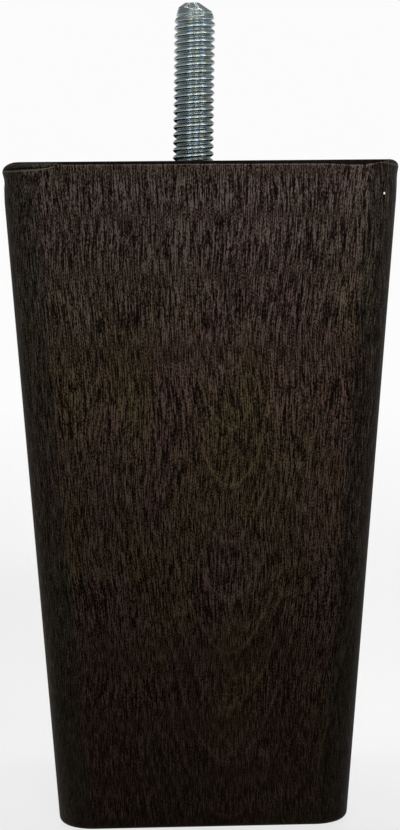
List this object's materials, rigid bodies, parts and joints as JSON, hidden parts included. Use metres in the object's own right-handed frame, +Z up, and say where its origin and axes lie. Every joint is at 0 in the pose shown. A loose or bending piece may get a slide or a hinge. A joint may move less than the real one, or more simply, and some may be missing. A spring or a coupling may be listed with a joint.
{
  "type": "tapered furniture leg",
  "caption": "Square tapered wooden furniture leg with rounded long edges and a steel hanger bolt in its top that screws it to the underside of a seat or cabinet.",
  "frame": {"origin": "middle of the foot's underside, where the leg's axis meets the floor", "axes": "+Z up the leg and out along the hanger bolt, -Y out of the front side, +X out of the right side"},
  "size_m": [0.0698, 0.0698, 0.1503],
  "materials": {
    "stained_wood": "very dark brown stain under thin satin lacquer",
    "zinc_plated_steel": "rolled and bright zinc plated"
  },
  "bodies": {
    "root": {"leg_block": "stained_wood", "hanger_bolt": "zinc_plated_steel"}
  },
  "joints": []
}
